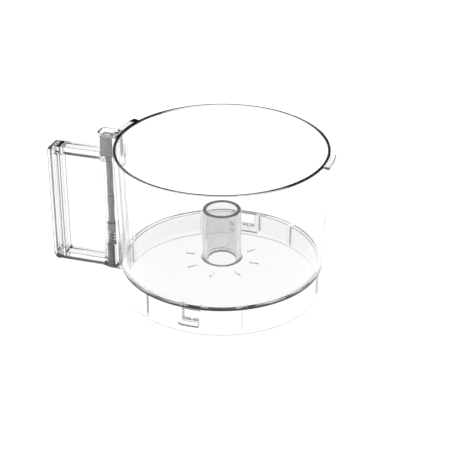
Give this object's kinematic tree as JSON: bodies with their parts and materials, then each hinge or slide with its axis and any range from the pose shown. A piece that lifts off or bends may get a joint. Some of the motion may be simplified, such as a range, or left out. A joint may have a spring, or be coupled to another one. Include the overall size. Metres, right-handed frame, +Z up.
{
  "type": "food processor bowl",
  "caption": "Clear round work bowl with a centre drive tube, a side handle and a sprung push rod in the column beside the handle.",
  "frame": {"origin": "on the axis of the drive tube's bore, at the underside of the bowl's floor", "axes": "+Z up along the bore and out of the rim; +X away from the handle, which points along -X"},
  "size_m": [0.2791, 0.2, 0.1441],
  "materials": {
    "clear_polycarbonate": "gloss, clear",
    "grey_acetal": "moulded, satin",
    "spring_steel": "drawn wire",
    "dark_nylon": "moulded, satin"
  },
  "bodies": {
    "work_bowl": {"bowl": "clear_polycarbonate", "spring_plug": "dark_nylon", "return_spring": "spring_steel"},
    "rod": {"push_rod": "grey_acetal"}
  },
  "joints": [
    {"name": "rod_press", "type": "slide", "parent": "work_bowl", "child": "rod", "axis": [0, 0, -1], "range_m": [0, 0.005], "stiffness_N_per_m": 500, "springref_m": -0.004, "deforming": ["return_spring"]}
  ]
}
